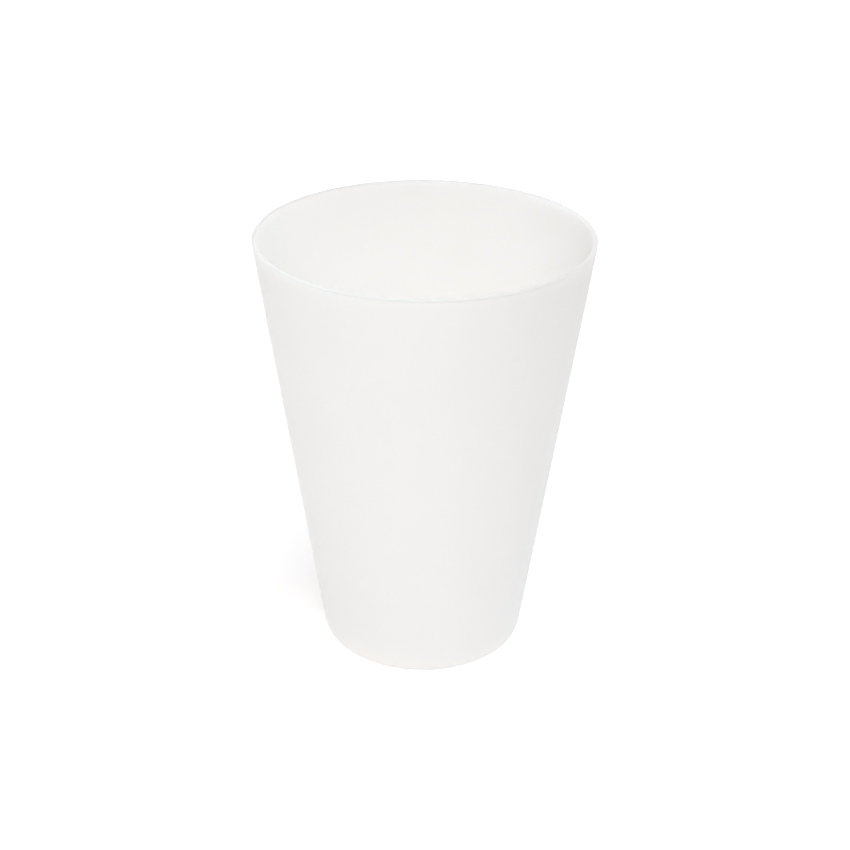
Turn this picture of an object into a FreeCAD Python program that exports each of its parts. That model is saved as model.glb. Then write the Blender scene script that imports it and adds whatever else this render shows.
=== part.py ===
import FreeCAD, Part
import math
import os

# Reusable drinking cup, injection moulded in one piece from translucent polypropylene.
# Millimetres, +Z up. The origin is the centre of the foot, on the surface the cup stands on.

# Outside
height = 120.0
rim_diameter = 90.0  # across the outside, where the rim's rounding begins
foot_diameter = 58.0  # across the outside of the wall, carried straight down to the standing surface

# Thicknesses
wall = 1.3  # measured square to the leaning wall
floor_thickness = 1.7

# Foot: a ring that the cup stands on, with the underside of the floor set back inside it
foot_recess = 1.6  # from the standing surface up to the underside of the floor
foot_ring_width = 2.0  # at the standing surface, before its edges are rounded
foot_ring_draft = 8.0  # degrees that the ring's inner side leans, so that it leaves the mould

# Roundings, and the most that each may take of the thickness it sits on
rim_rounding = 0.45
rim_share = 0.4  # of the wall
foot_outer_rounding = 1.2
foot_outer_share = 0.6  # of the ring's width
foot_inner_rounding = 0.3
foot_inner_share = 0.2  # of the ring's width
recess_rounding = 0.5  # under the floor, where it meets the foot ring
recess_share = 0.4  # of the recess
floor_rounding = 3.0  # inside the cup, where the floor meets the wall

# Gate mark: the small pip left under the floor where the plastic was fed in
gate_diameter = 3.0
gate_height = 0.5
gate_rounding = 0.2
gate_share = 0.4  # of the pip's height


def wall_slope():
    """How far the wall moves out for each millimetre of height."""
    return (rim_diameter - foot_diameter) / 2 / (height - rim_round())


def outer_radius(z):
    """Radius of the outside of the wall at height z."""
    return foot_diameter / 2 + wall_slope() * z


def inner_radius(z):
    """Radius of the inside of the wall at height z."""
    return outer_radius(z) - wall / math.cos(math.atan(wall_slope()))


def rim_round():
    return min(rim_rounding, rim_share * wall)


def foot_outer_round():
    return min(foot_outer_rounding, foot_outer_share * foot_ring_width)


def foot_inner_round():
    return min(foot_inner_rounding, foot_inner_share * foot_ring_width)


def recess_round():
    return min(recess_rounding, recess_share * foot_recess)


def gate_round():
    return min(gate_rounding, gate_share * gate_height)


def cup_corners():
    """Corners of the cup's half section as (radius, height, rounding).

    They run from the foot's outer corner up the outside, over the rim, down the inside,
    and back under the floor and the foot ring.
    """
    floor_top = foot_recess + floor_thickness
    ring_inner = foot_diameter / 2 - foot_ring_width
    recess_radius = ring_inner - foot_recess * math.tan(math.radians(foot_ring_draft))
    gate_bottom = foot_recess - gate_height
    return [
        (outer_radius(0), 0, foot_outer_round()),
        (outer_radius(height), height, rim_round()),
        (inner_radius(height), height, rim_round()),
        (inner_radius(floor_top), floor_top, floor_rounding),
        (0, floor_top, 0),
        (0, gate_bottom, 0),
        (gate_diameter / 2, gate_bottom, gate_round()),
        (gate_diameter / 2, foot_recess, 0),
        (recess_radius, foot_recess, recess_round()),
        (ring_inner, 0, foot_inner_round()),
    ]


def turn(before, corner, after, rounding):
    """Where the outline reaches and leaves a corner, and the arc in between, if it has one."""
    if rounding == 0:
        return corner, corner, None
    back = (before - corner).normalize()
    ahead = (after - corner).normalize()
    half_angle = back.getAngle(ahead) / 2
    start = corner + back * (rounding / math.tan(half_angle))
    end = corner + ahead * (rounding / math.tan(half_angle))
    middle = corner + (back + ahead).normalize() * (rounding / math.sin(half_angle) - rounding)
    return start, end, Part.Arc(start, middle, end).toShape()


def rounded_outline(corners):
    """Closed wire in the XZ plane through the corners, with a tangent arc at each rounded one."""
    points = [FreeCAD.Vector(radius, 0, z) for radius, z, rounding in corners]
    following = points[1:] + points[:1]
    turns = []
    for i, (radius, z, rounding) in enumerate(corners):
        turns.append(turn(points[i - 1], points[i], following[i], rounding))
    edges = []
    for i, (start, end, arc) in enumerate(turns):
        straight_start = turns[i - 1][1]
        edges.append(Part.LineSegment(straight_start, start).toShape())
        if arc is not None:
            edges.append(arc)
    return Part.Wire(edges)


def make_cup():
    """The whole cup, turned from its half section."""
    section = Part.Face(rounded_outline(cup_corners()))
    return section.revolve(FreeCAD.Vector(0, 0, 0), FreeCAD.Vector(0, 0, 1), 360)


os.makedirs("parts", exist_ok=True)
cup = make_cup()
cup.exportStep("parts/cup.step")
print(f"cup: valid {cup.isValid()}, volume {cup.Volume / 1000:.2f} cm3")
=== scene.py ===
import math
import bpy
from mathutils import Matrix, Vector


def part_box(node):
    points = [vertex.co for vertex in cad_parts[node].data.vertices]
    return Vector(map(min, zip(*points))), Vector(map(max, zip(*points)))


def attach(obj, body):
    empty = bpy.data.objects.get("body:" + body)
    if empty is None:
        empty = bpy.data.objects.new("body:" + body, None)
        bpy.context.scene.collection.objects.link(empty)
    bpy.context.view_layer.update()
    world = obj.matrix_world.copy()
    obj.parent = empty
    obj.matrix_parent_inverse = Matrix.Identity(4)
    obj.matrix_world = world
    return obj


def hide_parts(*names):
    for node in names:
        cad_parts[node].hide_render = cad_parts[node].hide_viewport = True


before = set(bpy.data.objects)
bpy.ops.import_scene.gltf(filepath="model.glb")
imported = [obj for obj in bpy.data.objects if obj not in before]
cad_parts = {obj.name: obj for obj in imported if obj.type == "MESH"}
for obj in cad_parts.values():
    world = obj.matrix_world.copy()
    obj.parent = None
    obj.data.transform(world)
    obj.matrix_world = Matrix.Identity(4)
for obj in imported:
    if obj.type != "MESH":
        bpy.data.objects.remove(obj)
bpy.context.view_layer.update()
cupLow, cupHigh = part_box("cup")
print("frame loaded")

# Metres throughout. The wall, floor and foot sizes are the cup's own, and the rest comes from its box.
cup = {
    "wall": 0.0013,
    "footRadius": 0.029,
    "floor": 0.0017,
    "recess": 0.0016,
    "ringWidth": 0.002,
    "ringDraft": math.radians(8),
    "gateRadius": 0.0015,
    "gateHeight": 0.0005,
    "rimRound": 0.00045,
    "rimSteps": 5,  # how many faces the rounding is cut into
    "floorRound": 0.003,
    "floorSteps": 8,
    "footRound": 0.0012,
    "footSteps": 7,
    "ringRound": 0.0003,
    "ringSteps": 3,
    "recessRound": 0.0005,
    "recessSteps": 4,
    "gateRound": 0.0002,
    "gateSteps": 3,
    "facets": 256,  # round the cup
    "wallCuts": 47,
    "capCuts": 7,
    "capEdge": 0.0004,
    "smoothUnder": math.radians(35),
}


def deselectAll():
    if bpy.context.object and bpy.context.object.mode != "OBJECT":
        bpy.ops.object.mode_set(mode="OBJECT")
    bpy.ops.object.select_all(action="DESELECT")


def editOnly(piece, mode):
    deselectAll()
    piece.select_set(True)
    bpy.context.view_layer.objects.active = piece
    bpy.ops.object.mode_set(mode="EDIT")
    bpy.ops.mesh.select_mode(type=mode)
    bpy.ops.mesh.select_all(action="DESELECT")
    bpy.ops.object.mode_set(mode="OBJECT")


def pickFaces(piece, wanted):
    editOnly(piece, "FACE")
    for face in piece.data.polygons:
        face.select = wanted(face)
    bpy.ops.object.mode_set(mode="EDIT")


def pickEdges(piece, wanted):
    editOnly(piece, "EDGE")
    points = piece.data.vertices
    for edge in piece.data.edges:
        edge.select = wanted(points[edge.vertices[0]].co, points[edge.vertices[1]].co)
    bpy.ops.object.mode_set(mode="EDIT")


# the flat ends face up or down, and the wall's normals lie nearly level
def facesUp(face):
    return face.normal.z > 0.9


def facesDown(face):
    return face.normal.z < -0.9


def onRing(point, radius, z):
    near = 0.00002
    return abs(point.xy.length - radius) < near and abs(point.z - z) < near


def pushFace(depth, widthFrom, widthTo):
    # extrude the picked cap along the axis and draw it in or out to the new width
    bpy.ops.mesh.extrude_region_move(TRANSFORM_OT_translate={"value": (0, 0, depth)})
    share = widthTo / widthFrom
    bpy.ops.transform.resize(value=(share, share, 1), center_override=(0, 0, 0))


def roundRing(piece, name, radius, z, cornerAngle):
    pickEdges(piece, lambda a, b: onRing(a, radius, z) and onRing(b, radius, z))
    reach = cup[name + "Round"] / math.tan(cornerAngle / 2)
    steps = cup[name + "Steps"]
    bpy.ops.mesh.bevel(offset=reach, offset_type="OFFSET", segments=steps, profile=0.5)  # a true arc


def makeCup():
    height = cupHigh.z
    # the wall's outside runs straight, from the foot to where the rim's rounding begins
    slope = (cupHigh.x - cup["footRadius"]) / (height - cup["rimRound"])
    lean = math.atan(slope)
    across = cup["wall"] / math.cos(lean)
    rimOuter = cup["footRadius"] + slope * height
    rimInner = rimOuter - across
    floorTop = cup["recess"] + cup["floor"]
    floorRadius = cup["footRadius"] + slope * floorTop - across
    ringInner = cup["footRadius"] - cup["ringWidth"]
    recessRadius = ringInner - cup["recess"] * math.tan(cup["ringDraft"])

    deselectAll()
    bpy.ops.mesh.primitive_cone_add(
        vertices=cup["facets"], radius1=cup["footRadius"], radius2=rimOuter,
        depth=height, end_fill_type="NGON", location=(0, 0, height / 2),
    )
    piece = bpy.context.object
    piece.name = "frostedCup"
    bpy.ops.object.transform_apply(location=True, rotation=True, scale=True)

    # hollow it from the mouth down
    pickFaces(piece, facesUp)
    bpy.ops.mesh.inset(thickness=across, depth=0)
    pushFace(floorTop - height, rimInner, floorRadius)
    # set the floor's underside back inside the foot ring, and leave the gate's pip on it
    pickFaces(piece, facesDown)
    bpy.ops.mesh.inset(thickness=cup["ringWidth"], depth=0)
    pushFace(cup["recess"], ringInner, recessRadius)
    bpy.ops.mesh.inset(thickness=recessRadius - cup["gateRadius"], depth=0)
    pushFace(-cup["gateHeight"], cup["gateRadius"], cup["gateRadius"])

    square = math.pi / 2
    roundRing(piece, "rim", rimOuter, height, square - lean)
    roundRing(piece, "rim", rimInner, height, square + lean)
    roundRing(piece, "floor", floorRadius, floorTop, square + lean)
    roundRing(piece, "foot", cup["footRadius"], 0, square + lean)
    roundRing(piece, "ring", ringInner, 0, square + cup["ringDraft"])
    roundRing(piece, "recess", recessRadius, cup["recess"], square + cup["ringDraft"])
    roundRing(piece, "gate", cup["gateRadius"], cup["recess"] - cup["gateHeight"], square)

    # rings up the wall, inside and outside
    pickEdges(piece, lambda a, b: abs(a.z - b.z) > height / 2)
    bpy.ops.mesh.subdivide(number_cuts=cup["wallCuts"])
    # a narrow flat edge to the floor, so that it shades flat, then rings and a closed centre
    pickFaces(piece, lambda face: len(face.vertices) > 4 and face.center.z > cup["recess"])
    bpy.ops.mesh.inset(thickness=cup["capEdge"], depth=0)
    bpy.ops.mesh.inset(thickness=floorRadius - cup["floorRound"] - cup["gateRadius"], depth=0)
    bpy.ops.mesh.poke()
    pickFaces(piece, lambda face: len(face.vertices) > 4)
    bpy.ops.mesh.poke()
    pickEdges(piece, lambda a, b: (a.xy - b.xy).length > cup["footRadius"] / 2)
    bpy.ops.mesh.subdivide(number_cuts=cup["capCuts"])
    bpy.ops.object.mode_set(mode="OBJECT")
    bpy.ops.object.shade_smooth_by_angle(angle=cup["smoothUnder"])
    print("cup modelled:", len(piece.data.polygons), "faces")
    return piece


frostedPlastic = {
    "colour": (0.9, 0.889, 0.878),
    "cloudScale": 55,
    "cloudDetail": 3,
    "cloudShade": 0.012,
    "flowScale": (420, 420, 14),
    "flowDetail": 2,
    "flowDepth": 0.00001,
    "grainScale": 2400,
    "grainDetail": 4,
    "grainRoughness": 0.6,
    "grainSpread": (0.3, 0.7),  # the part of the noise that the roughness runs over
    "grainDepth": 0.000012,
    "roughness": (0.54, 0.66),
    "ior": 1.49,
    "gloss": 0.5,
    "scatter": 1.0,
    "scatterReach": (0.005, 0.005, 0.005),
    "edgePaintedShade": 0.9,  # painted shade: the colour is times this at the rim's outer edge
    "paintedShadeReach": (0.0003, 0.0012),
    "rimScatter": 12,  # and the scatter times this
    "rimReach": (0.0004, 0.0018),
    "rimSteep": 1.5,
    "lipScatter": 1.5,  # and times this at the very top
    "lipReach": (0, 0.004),
}


def addNode(tree, kind, **values):
    node = tree.nodes.new(kind)
    for name, value in values.items():
        setattr(node, name, value)
    return node


def maths(tree, operation, *values):
    # an output among the values is linked, and a plain number is set
    node = addNode(tree, "ShaderNodeMath", operation=operation)
    for socket, value in zip(node.inputs, values):
        if isinstance(value, bpy.types.NodeSocket):
            tree.links.new(value, socket)
        else:
            socket.default_value = value
    return node.outputs["Value"]


def fade(tree, value, reach, shades, curve="SMOOTHSTEP"):
    # goes from the first shade to the second as the value goes through its reach
    node = addNode(tree, "ShaderNodeMapRange", interpolation_type=curve)
    node.inputs["From Min"].default_value = reach[0]
    node.inputs["From Max"].default_value = reach[1]
    node.inputs["To Min"].default_value = shades[0]
    node.inputs["To Max"].default_value = shades[1]
    tree.links.new(value, node.inputs["Value"])
    return node.outputs["Result"]


def noise(tree, place, scale, detail, roughness=0.5):
    node = addNode(tree, "ShaderNodeTexNoise")
    node.inputs["Scale"].default_value = scale
    node.inputs["Detail"].default_value = detail
    node.inputs["Roughness"].default_value = roughness
    tree.links.new(place, node.inputs["Vector"])
    return node.outputs["Fac"]


def bump(tree, height, depth):
    node = addNode(tree, "ShaderNodeBump")
    node.inputs["Distance"].default_value = depth
    tree.links.new(height, node.inputs["Height"])
    return node


def fromRim(tree, place, z):
    # how far each point is from the rim's outer edge, counted steeper down the wall
    steep = frostedPlastic["rimSteep"]
    level = addNode(tree, "ShaderNodeVectorMath", operation="MULTIPLY")
    level.inputs[1].default_value = (1, 1, 0)
    tree.links.new(place, level.inputs[0])
    radius = addNode(tree, "ShaderNodeVectorMath", operation="LENGTH")
    tree.links.new(level.outputs["Vector"], radius.inputs[0])
    section = addNode(tree, "ShaderNodeCombineXYZ")
    tree.links.new(radius.outputs["Value"], section.inputs["X"])
    tree.links.new(maths(tree, "MULTIPLY", z, steep), section.inputs["Z"])
    toEdge = addNode(tree, "ShaderNodeVectorMath", operation="DISTANCE")
    toEdge.inputs[1].default_value = (cupHigh.x, 0, cupHigh.z * steep)
    tree.links.new(section.outputs["Vector"], toEdge.inputs[0])
    return toEdge.outputs["Value"]


def cloudsAndPaintedShade(tree, place, edge):
    # faint clouds of denser and thinner plastic
    shade = addNode(tree, "ShaderNodeMix", data_type="RGBA")
    red, green, blue = frostedPlastic["colour"]
    low = 1 - frostedPlastic["cloudShade"]
    high = 1 + frostedPlastic["cloudShade"]
    shade.inputs["A"].default_value = (red * low, green * low, blue * low, 1)
    shade.inputs["B"].default_value = (red * high, green * high, blue * high, 1)
    clouds = noise(tree, place, frostedPlastic["cloudScale"], frostedPlastic["cloudDetail"])
    tree.links.new(clouds, shade.inputs["Factor"])
    # painted shade: the rim's outer edge is made greyer in its colour
    paintedShadeFactor = fade(tree, edge, frostedPlastic["paintedShadeReach"], (frostedPlastic["edgePaintedShade"], 1))
    paintedShadeColour = addNode(tree, "ShaderNodeVectorMath", operation="SCALE")
    tree.links.new(shade.outputs["Result"], paintedShadeColour.inputs[0])
    tree.links.new(paintedShadeFactor, paintedShadeColour.inputs["Scale"])
    return paintedShadeColour.outputs["Vector"]


def pipedScatter(tree, edge, z):
    # light that enters the rim is piped down the wall, so it scatters further there
    rim = fade(tree, edge, frostedPlastic["rimReach"], (frostedPlastic["rimScatter"], 1))
    top = [cupHigh.z - below for below in frostedPlastic["lipReach"]]
    lip = fade(tree, z, top, (frostedPlastic["lipScatter"], 1))
    return maths(tree, "MULTIPLY", rim, lip)


def frostedPlasticMaterial():
    material = bpy.data.materials.new("frostedPlastic")
    material.use_nodes = True
    tree = material.node_tree
    link = tree.links.new
    shader = tree.nodes["Principled BSDF"]
    place = addNode(tree, "ShaderNodeTexCoord").outputs["Object"]
    parts = addNode(tree, "ShaderNodeSeparateXYZ")
    link(place, parts.inputs["Vector"])
    z = parts.outputs["Z"]
    edge = fromRim(tree, place, z)
    # the base colour holds faint clouds, and painted shade at the rim's outer edge
    link(cloudsAndPaintedShade(tree, place, edge), shader.inputs["Base Color"])
    link(pipedScatter(tree, edge, z), shader.inputs["Subsurface Scale"])

    # the plastic flowed up the wall, which leaves very faint upright streaks
    stretch = addNode(tree, "ShaderNodeMapping")
    stretch.inputs["Scale"].default_value = frostedPlastic["flowScale"]
    link(place, stretch.inputs["Vector"])
    flow = noise(tree, stretch.outputs["Vector"], 1, frostedPlastic["flowDetail"])
    flowBump = bump(tree, flow, frostedPlastic["flowDepth"])

    # satin grain from the eroded mould
    grain = noise(
        tree, place, frostedPlastic["grainScale"],
        frostedPlastic["grainDetail"], frostedPlastic["grainRoughness"],
    )
    grainBump = bump(tree, grain, frostedPlastic["grainDepth"])
    link(flowBump.outputs["Normal"], grainBump.inputs["Normal"])
    link(grainBump.outputs["Normal"], shader.inputs["Normal"])
    rough = fade(tree, grain, frostedPlastic["grainSpread"], frostedPlastic["roughness"], "LINEAR")
    link(rough, shader.inputs["Roughness"])

    shader.inputs["IOR"].default_value = frostedPlastic["ior"]
    shader.inputs["Specular IOR Level"].default_value = frostedPlastic["gloss"]
    shader.subsurface_method = "RANDOM_WALK"
    shader.inputs["Subsurface Weight"].default_value = frostedPlastic["scatter"]
    shader.inputs["Subsurface Radius"].default_value = frostedPlastic["scatterReach"]
    return material


studio = {
    "floorWidth": 12,
    "floorColour": (0.85, 0.87, 0.91, 1),
    "glowColour": (1, 0.96, 0.91, 1),
    "lit": (0.15, 0.01),  # the floor's glow, by the cup and further off
    "litReach": (0.09, 0.23),  # from where to where it fades
    "footLit": (0.38, 0),  # more glow, in a ring under the foot
    "footReach": (0.025, 0.0305),
    "ringReach": (0.022, 0.026),
    "seen": (0.07, 1),  # what the eye gets on top, by the cup and further off
    "seenReach": (0.05, 0.8),
    "ambient": 0.265,
    "ambientColour": (1, 0.86, 0.8, 1),
}
# where each softbox stands round the cup, seen from above: bearing 0 is behind the camera
softboxes = {
    "key": {
        "aim": 0.06, "bearing": 0, "rise": 50, "distance": 1.2, "width": 0.9,
        "power": 9.05, "colour": (1, 0.987, 0.94),
    },
    "left": {
        "aim": 0.06, "bearing": -90, "rise": 50, "distance": 1.2, "width": 0.9,
        "power": 3.3, "colour": (1, 0.97, 0.96),
    },
    "backLeft": {
        "aim": 0.06, "bearing": -135, "rise": 12, "distance": 1.2, "width": 0.9,
        "power": 1.55, "colour": (0.86, 0.97, 1),
    },
    "backRight": {
        "aim": 0.06, "bearing": 135, "rise": 12, "distance": 1.2, "width": 0.9,
        "power": 2.95, "colour": (0.86, 0.96, 1),
    },
    "mouth": {
        "aim": 0.11, "bearing": 110, "rise": 70, "distance": 0.4, "width": 0.2,
        "power": 0.94, "colour": (0.83, 0.94, 1),
    },
}


def whiteForSight(tree):
    # 1 for rays that show the surroundings: straight to the eye, or by way of gloss or see-through
    path = addNode(tree, "ShaderNodeLightPath").outputs
    first = maths(tree, "MAXIMUM", path["Is Camera Ray"], path["Is Glossy Ray"])
    return maths(tree, "MAXIMUM", first, path["Is Transmission Ray"])


def makeWorld():
    world = bpy.data.worlds.new("studioAir")
    world.use_nodes = True
    bpy.context.scene.world = world
    tree = world.node_tree
    ambient = tree.nodes["Background"]
    ambient.inputs["Strength"].default_value = studio["ambient"]
    ambient.inputs["Color"].default_value = studio["ambientColour"]
    seen = addNode(tree, "ShaderNodeBackground")
    seen.inputs["Strength"].default_value = 1
    seen.inputs["Color"].default_value = (1, 1, 1, 1)
    pick = addNode(tree, "ShaderNodeMixShader")
    tree.links.new(whiteForSight(tree), pick.inputs["Fac"])
    tree.links.new(ambient.outputs["Background"], pick.inputs[1])
    tree.links.new(seen.outputs["Background"], pick.inputs[2])
    tree.links.new(pick.outputs["Shader"], tree.nodes["World Output"].inputs["Surface"])


def paleFloorMaterial():
    material = bpy.data.materials.new("paleFloor")
    material.use_nodes = True
    tree = material.node_tree
    tree.nodes.remove(tree.nodes["Principled BSDF"])
    place = addNode(tree, "ShaderNodeTexCoord").outputs["Object"]
    length = addNode(tree, "ShaderNodeVectorMath", operation="LENGTH")
    tree.links.new(place, length.inputs[0])
    away = length.outputs["Value"]
    # lit from below round the cup and in a ring under its foot, as on a light table
    lit = fade(tree, away, studio["litReach"], studio["lit"])
    footLit = fade(tree, away, studio["footReach"], studio["footLit"])
    ring = fade(tree, away, studio["ringReach"], (0, 1))
    litAll = maths(tree, "MULTIPLY_ADD", ring, footLit, lit)
    # and white to the eye further off
    seen = fade(tree, away, studio["seenReach"], studio["seen"])
    strength = maths(tree, "MULTIPLY_ADD", whiteForSight(tree), seen, litAll)
    glow = addNode(tree, "ShaderNodeEmission")
    glow.inputs["Color"].default_value = studio["glowColour"]
    tree.links.new(strength, glow.inputs["Strength"])
    paint = addNode(tree, "ShaderNodeBsdfDiffuse")
    paint.inputs["Color"].default_value = studio["floorColour"]
    both = addNode(tree, "ShaderNodeAddShader")
    tree.links.new(paint.outputs["BSDF"], both.inputs[0])
    tree.links.new(glow.outputs["Emission"], both.inputs[1])
    tree.links.new(both.outputs["Shader"], tree.nodes["Material Output"].inputs["Surface"])
    return material


def makeFloor():
    deselectAll()
    bpy.ops.mesh.primitive_plane_add(size=studio["floorWidth"], location=(0, 0, cupLow.z))
    floor = bpy.context.object
    floor.name = "studioFloor"
    floor.data.materials.append(paleFloorMaterial())


def makeSoftbox(name, box):
    light = bpy.data.lights.new(name, "AREA")
    light.shape = "SQUARE"
    light.size = box["width"]
    light.energy = box["power"]
    light.color = box["colour"]
    lamp = bpy.data.objects.new(name, light)
    bpy.context.scene.collection.objects.link(lamp)
    bearing = math.radians(box["bearing"])
    rise = math.radians(box["rise"])
    away = Vector((
        math.sin(bearing) * math.cos(rise),
        -math.cos(bearing) * math.cos(rise),
        math.sin(rise),
    ))
    lamp.location = Vector((0, 0, box["aim"])) + away * box["distance"]
    lamp.rotation_mode = "QUATERNION"
    lamp.rotation_quaternion = away.to_track_quat("Z", "Y")


camera = {
    "lens": 58.9,
    "nearest": 0.01,
    "distance": 0.3892,
    "down": math.radians(27.96),
    "roll": math.radians(0.476),
    "aimRight": 0.00045,
    "aimUp": 0.06344,
}


def makeCamera():
    lens = bpy.data.cameras.new("studioCamera")
    lens.lens = camera["lens"]
    lens.clip_start = camera["nearest"]
    holder = bpy.data.objects.new("studioCamera", lens)
    bpy.context.scene.collection.objects.link(holder)
    down = camera["down"]
    aim = Vector((camera["aimRight"], 0, camera["aimUp"]))
    back = Vector((0, -math.cos(down), math.sin(down))) * camera["distance"]
    turn = Matrix.Rotation(math.pi / 2 - down, 4, "X") @ Matrix.Rotation(camera["roll"], 4, "Z")
    holder.matrix_world = Matrix.Translation(aim + back) @ turn
    bpy.context.scene.camera = holder


makeCamera()
makeWorld()
makeFloor()
for name, box in softboxes.items():
    makeSoftbox(name, box)
print("studio ready")

frostedCup = makeCup()
frostedCup.data.materials.append(frostedPlasticMaterial())
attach(frostedCup, "root")
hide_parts("cup")
print("cup finished")

bpy.context.scene.view_settings.view_transform = "Standard"
